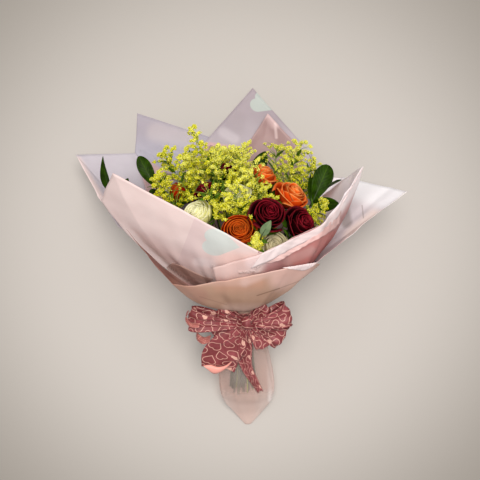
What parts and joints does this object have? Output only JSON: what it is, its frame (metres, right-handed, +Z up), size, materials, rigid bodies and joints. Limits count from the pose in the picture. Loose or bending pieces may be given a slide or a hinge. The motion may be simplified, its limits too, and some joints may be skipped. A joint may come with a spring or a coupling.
{
  "type": "wrapped flower bouquet",
  "caption": "Mixed bouquet of roses, goldenrod and leafy sprigs, hand-tied, wrapped in layered pale pink film with a heart-patterned ribbon bow, lying on its back.",
  "frame": {"origin": "middle of the bouquet's footprint, on the surface it lies on", "axes": "+Z up from that surface; +Y along the bouquet, from the stems' end to the flowers; +X to the right, seen from above with the flowers at the top"},
  "size_m": [0.4838, 0.5262, 0.2649],
  "materials": {
    "red_petals": "dark red velvety rose petals",
    "orange_petals": "orange rose petals, yellower at the base",
    "white_petals": "creamy white rose petals, greenish at the heart",
    "green_stem": "smooth green cut stem",
    "glossy_leaf": "waxy dark green leaf",
    "goldenrod_florets": "tiny yellow-green florets on thin green twigs",
    "jute_twine": "natural jute twine",
    "wrapping_film": "pale pink, slightly see-through floral wrapping film, matt",
    "heart_ribbon": "dusty pink satin ribbon with a pattern of lighter hearts"
  },
  "bodies": {
    "root": {"rose_orange_back": "orange_petals", "rose_orange_front": "orange_petals", "rose_orange_left": "orange_petals", "rose_orange_middle": "orange_petals", "rose_orange_right": "orange_petals", "rose_red_back": "red_petals", "rose_red_front": "red_petals", "rose_red_left": "red_petals", "rose_red_middle": "red_petals", "rose_red_right": "red_petals", "rose_white_front": "white_petals", "rose_white_left": "white_petals", "rose_white_middle": "white_petals", "rose_white_right": "white_petals", "stem_orange_back": "green_stem", "stem_orange_front": "green_stem", "stem_orange_left": "green_stem", "stem_orange_middle": "green_stem", "stem_orange_right": "green_stem", "stem_red_back": "green_stem", "stem_red_front": "green_stem", "stem_red_left": "green_stem", "stem_red_middle": "green_stem", "stem_red_right": "green_stem", "stem_white_front": "green_stem", "stem_white_left": "green_stem", "stem_white_middle": "green_stem", "stem_white_right": "green_stem", "sprig_back": "glossy_leaf", "sprig_far_left": "glossy_leaf", "sprig_front": "glossy_leaf", "sprig_left": "glossy_leaf", "sprig_right": "glossy_leaf", "goldenrod_arching": "goldenrod_florets", "goldenrod_back_left": "goldenrod_florets", "goldenrod_back_middle": "goldenrod_florets", "goldenrod_back_right": "goldenrod_florets", "goldenrod_centre": "goldenrod_florets", "goldenrod_front": "goldenrod_florets", "goldenrod_front_left": "goldenrod_florets", "goldenrod_front_middle": "goldenrod_florets", "goldenrod_left": "goldenrod_florets", "goldenrod_left_low": "goldenrod_florets", "goldenrod_left_middle": "goldenrod_florets", "goldenrod_middle": "goldenrod_florets", "goldenrod_right": "goldenrod_florets", "goldenrod_right_low": "goldenrod_florets", "goldenrod_tall": "goldenrod_florets", "twine_tie": "jute_twine", "paper_back_inner": "wrapping_film", "paper_back_left": "wrapping_film", "paper_back_tall": "wrapping_film", "paper_collar": "wrapping_film", "paper_front_left": "wrapping_film", "paper_front_right": "wrapping_film", "paper_left_wing": "wrapping_film", "paper_right_wing": "wrapping_film", "paper_stem_wrap": "wrapping_film", "ribbon_band": "heart_ribbon", "ribbon_bow": "heart_ribbon"}
  },
  "joints": []
}
